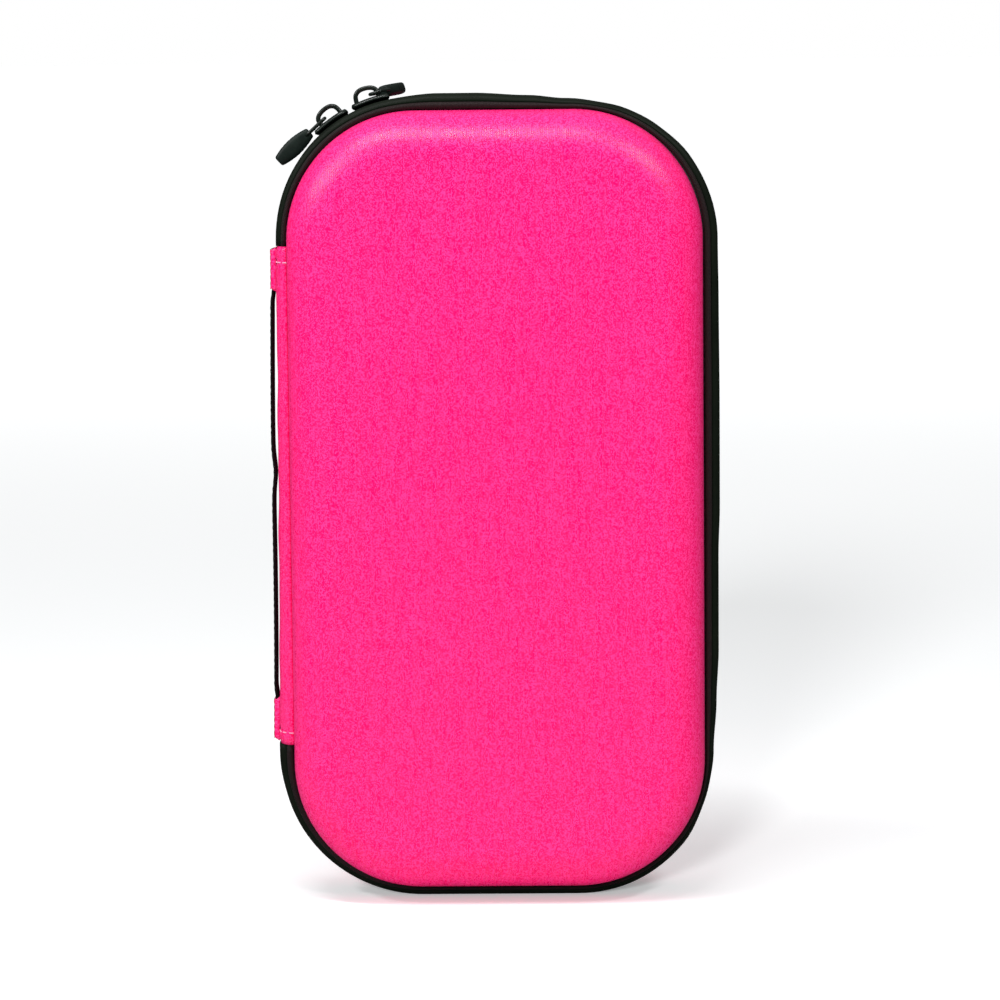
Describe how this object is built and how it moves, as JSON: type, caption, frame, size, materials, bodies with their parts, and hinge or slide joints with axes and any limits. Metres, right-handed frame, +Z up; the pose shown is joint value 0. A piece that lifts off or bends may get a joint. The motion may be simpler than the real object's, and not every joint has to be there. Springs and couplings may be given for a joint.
{
  "type": "zipped hard case",
  "caption": "Moulded fabric clamshell case for a stethoscope, with a zip band, fabric spine hinge, carry strap and mesh pocket.",
  "frame": {"origin": "centre of the overall box at its foot, where the case stands on its short end", "axes": "+Z up along the case's length; the lid faces -Y and the base +Y, meeting on y = 0; the spine hinge is on the -X side"},
  "size_m": [0.1516, 0.062, 0.2794],
  "materials": {
    "pink_knit": "fine knit laminated on foam, slight sheen",
    "pink_spine": "fine knit, stitched",
    "foam": "closed-cell foam, matt",
    "lining": "brushed black knit lining",
    "binding": "black grosgrain",
    "zip_tape": "black woven tape",
    "zip_coil": "black monofilament coil",
    "webbing": "black flat webbing",
    "net": "black knitted mesh",
    "elastic": "black woven elastic",
    "hook_loop": "black hook and loop",
    "stiffener": "grey sheet",
    "slider": "black lacquered die cast",
    "pull": "black moulded, satin"
  },
  "bodies": {
    "base": {"base_cover": "pink_knit", "base_foam_shell": "foam", "base_lining": "lining", "base_rim_binding": "binding", "base_piping": "binding", "base_zip_tape": "zip_tape", "base_zip_coil": "zip_coil", "base_zip_stops": "zip_coil", "base_spine_wing": "pink_spine", "elastic_strap_left": "elastic", "elastic_strap_right": "elastic", "strap_loop_patch": "hook_loop", "strap_hook_patch": "hook_loop", "elastic_band": "elastic"},
    "spine": {"spine_cover": "pink_spine", "spine_stiffener": "stiffener", "spine_lining": "lining", "carry_strap": "webbing", "strap_end_cover_lower": "pink_spine", "strap_end_cover_upper": "pink_spine"},
    "lid": {"lid_cover": "pink_knit", "lid_foam_shell": "foam", "lid_lining": "lining", "lid_rim_binding": "binding", "lid_piping": "binding", "lid_zip_tape": "zip_tape", "lid_zip_coil": "zip_coil", "lid_zip_stops": "zip_coil", "lid_spine_wing": "pink_spine", "mesh_pocket_net": "net", "mesh_pocket_hem": "elastic"},
    "left_slider": {"left_slider_body": "slider", "left_slider_bridge": "slider"},
    "left_pull": {"left_slider_pull_link": "slider", "left_slider_pull_tab": "pull"},
    "right_slider": {"right_slider_body": "slider", "right_slider_bridge": "slider"},
    "right_pull": {"right_slider_pull_link": "slider", "right_slider_pull_tab": "pull"}
  },
  "joints": [
    {"name": "spine_fold", "type": "hinge", "parent": "base", "child": "spine", "pos_m": [-0.07375, 0.006, 0.137], "axis": [0, 0, -1], "range_deg": [0, 90]},
    {"name": "lid_fold", "type": "hinge", "parent": "spine", "child": "lid", "pos_m": [-0.07375, -0.006, 0.137], "axis": [0, 0, -1], "range_deg": [0, 90]},
    {"name": "left_slider_travel", "type": "hinge", "parent": "base", "child": "left_slider", "pos_m": [-0.02575, 0, 0.226], "axis": [0, -1, 0], "range_deg": [0, 33]},
    {"name": "right_slider_travel", "type": "hinge", "parent": "base", "child": "right_slider", "pos_m": [-0.02575, 0, 0.226], "axis": [0, 1, 0], "range_deg": [0, 10]},
    {"name": "left_pull_flip", "type": "hinge", "parent": "left_slider", "child": "left_pull", "pos_m": [-0.05648, 0, 0.26709], "axis": [0, 1, 0], "range_deg": [0, 150]},
    {"name": "right_pull_swing", "type": "hinge", "parent": "right_slider", "child": "right_pull", "pos_m": [-0.03861, 0, 0.27576], "axis": [0.309, 0, -0.9511], "range_deg": [0, 140]}
  ],
  "couplings": [
    {"joint": "lid_fold", "follows": "spine_fold", "ratio": 1}
  ]
}
